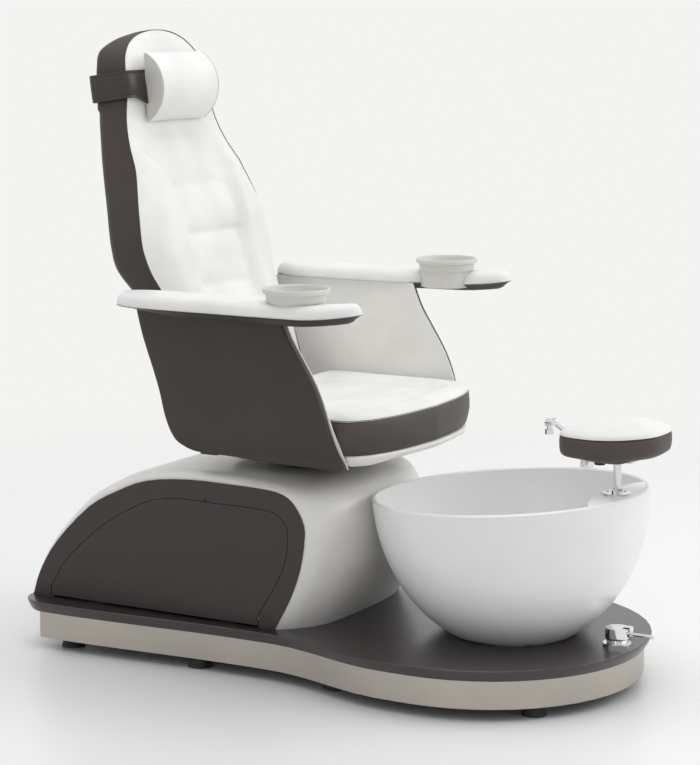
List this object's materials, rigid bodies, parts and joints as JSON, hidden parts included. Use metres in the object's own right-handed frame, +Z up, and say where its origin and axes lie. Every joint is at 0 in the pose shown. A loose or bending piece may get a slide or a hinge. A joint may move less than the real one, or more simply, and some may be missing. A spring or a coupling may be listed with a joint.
{
  "type": "pedicure spa chair",
  "caption": "Swivelling, reclining salon chair on a storage pedestal, with foot bowl, footrest, spout and mixer on one platform.",
  "frame": {"origin": "floor level under the middle of the platform and footrest, on the chair's centre plane", "axes": "+Z up, -Y forwards to the foot bowl and footrest, +X to the sitter's left, the spout's side"},
  "size_m": [0.781, 1.38, 1.326],
  "materials": {
    "deck_wenge": "satin",
    "skirt_steel": "brushed",
    "frame_steel": "matt black",
    "foot_black": "matt",
    "shell_white": "satin moulded",
    "panel_dark": "fine textured laminate",
    "hinge_steel": "satin",
    "box_black": "matt",
    "hose_grey": "matt",
    "connector_brass": "machined",
    "bowl_white": "satin white",
    "chrome": "polished",
    "disc_black": "satin black",
    "leather_dark": "fine grained, matt",
    "leather_grey": "smooth",
    "leather_white": "smooth, soft sheen",
    "cup_grey": "satin moulded",
    "strap_dark": "woven webbing"
  },
  "bodies": {
    "base": {"platform_top": "deck_wenge", "platform_skirt": "skirt_steel", "base_rails": "frame_steel", "base_cross_members": "frame_steel", "levelling_feet": "foot_black", "pedestal_shell": "shell_white", "side_panel_right": "panel_dark", "side_panel_left": "panel_dark", "door_hardware": "hinge_steel", "swivel_column": "frame_steel", "swivel_bearing": "hinge_steel", "control_box": "box_black", "drain_pump": "box_black", "drain_hose": "hose_grey", "supply_hoses": "hinge_steel", "rear_connectors": "connector_brass", "power_inlet": "box_black", "foot_bowl": "bowl_white", "bowl_drain": "chrome", "footrest_socket": "chrome", "spout_column": "chrome", "mixer_body": "chrome", "fixings": "hinge_steel"},
    "seat": {"swivel_shaft": "chrome", "swivel_disc": "disc_black", "seat_frame": "disc_black", "seat_pan": "shell_white", "side_wall_right": "leather_dark", "side_wall_left": "leather_dark", "side_liner_right": "leather_grey", "side_liner_left": "leather_grey", "armrest_base_right": "leather_dark", "armrest_base_left": "leather_dark", "armrest_pad_right": "leather_white", "armrest_pad_left": "leather_white", "cup_rings": "cup_grey", "cushion_base": "leather_dark", "cushion_top": "leather_white", "recline_brackets": "frame_steel", "recline_shaft": "hinge_steel"},
    "back": {"back_frame": "frame_steel", "back_shell": "leather_dark", "back_cushion": "leather_white"},
    "headrest": {"headrest_roll": "leather_white", "headrest_strap": "strap_dark"},
    "door_right": {"door_right": "panel_dark"},
    "door_left": {"door_left": "panel_dark"},
    "cup_right": {"manicure_bowl_right": "cup_grey"},
    "cup_left": {"manicure_bowl_left": "cup_grey"},
    "footrest_rod": {"footrest_post": "chrome"},
    "footrest": {"footrest_bracket": "hinge_steel", "footrest_base": "leather_dark", "footrest_top": "leather_white"},
    "clamp_knob": {"clamp_knob": "box_black"},
    "spout": {"spout_tube": "chrome"},
    "nozzle": {"spout_nozzle": "chrome"},
    "mixer_cap": {"mixer_cap": "chrome"},
    "mixer_lever": {"mixer_lever": "chrome"},
    "waste_plug": {"waste_plug": "chrome"},
    "waste_knob": {"waste_knob": "chrome"}
  },
  "joints": [
    {"name": "seat_swivel", "type": "hinge", "parent": "base", "child": "seat", "pos_m": [0, 0.13, 0.446], "axis": [0, 0, 1], "range_deg": [-90, 90]},
    {"name": "back_recline", "type": "hinge", "parent": "seat", "child": "back", "pos_m": [0, 0.287, 0.507], "axis": [-1, 0, 0], "range_deg": [0, 35]},
    {"name": "headrest_slide", "type": "slide", "parent": "back", "child": "headrest", "axis": [0, 0.1392, 0.9903], "range_m": [-0.02, 0.03]},
    {"name": "door_right_hinge", "type": "hinge", "parent": "base", "child": "door_right", "pos_m": [-0.238, 0.37, 0.12], "axis": [0, -1, 0], "range_deg": [0, 75]},
    {"name": "door_left_hinge", "type": "hinge", "parent": "base", "child": "door_left", "pos_m": [0.238, 0.37, 0.12], "axis": [0, 1, 0], "range_deg": [0, 75]},
    {"name": "cup_right_lift", "type": "slide", "parent": "seat", "child": "cup_right", "axis": [0, 0, 1], "range_m": [0, 0.08]},
    {"name": "cup_left_lift", "type": "slide", "parent": "seat", "child": "cup_left", "axis": [0, 0, 1], "range_m": [0, 0.08]},
    {"name": "footrest_height", "type": "slide", "parent": "base", "child": "footrest_rod", "axis": [0, 0, 1], "range_m": [0, 0.06]},
    {"name": "footrest_swivel", "type": "hinge", "parent": "footrest_rod", "child": "footrest", "pos_m": [0, -0.583, 0.48], "axis": [0, 0, 1], "continuous": true},
    {"name": "clamp_knob_turn", "type": "hinge", "parent": "footrest", "child": "clamp_knob", "pos_m": [0, -0.545, 0.485], "axis": [0, 0, 1], "continuous": true},
    {"name": "spout_swivel", "type": "hinge", "parent": "base", "child": "spout", "pos_m": [0.303, -0.384, 0.43], "axis": [0, 0, 1], "range_deg": [-60, 60]},
    {"name": "nozzle_tilt", "type": "hinge", "parent": "spout", "child": "nozzle", "pos_m": [0.16557, -0.35729, 0.514], "axis": [0.1908, 0.9816, 0], "range_deg": [-12, 30]},
    {"name": "mixer_turn", "type": "hinge", "parent": "base", "child": "mixer_cap", "pos_m": [-0.006, -0.592, 0.124], "axis": [0, 0, 1], "range_deg": [-45, 45]},
    {"name": "mixer_lift", "type": "hinge", "parent": "mixer_cap", "child": "mixer_lever", "pos_m": [-0.006, -0.592, 0.13264], "axis": [-1, 0, 0], "range_deg": [0, 15]},
    {"name": "waste_knob_lift", "type": "slide", "parent": "base", "child": "waste_knob", "axis": [0, 0, 1], "range_m": [0, 0.012]},
    {"name": "plug_lift", "type": "slide", "parent": "base", "child": "waste_plug", "axis": [0, 0.0698, 0.9976], "range_m": [0, 0.0096]}
  ],
  "couplings": [
    {"joint": "plug_lift", "follows": "waste_knob_lift", "ratio": 0.8}
  ]
}
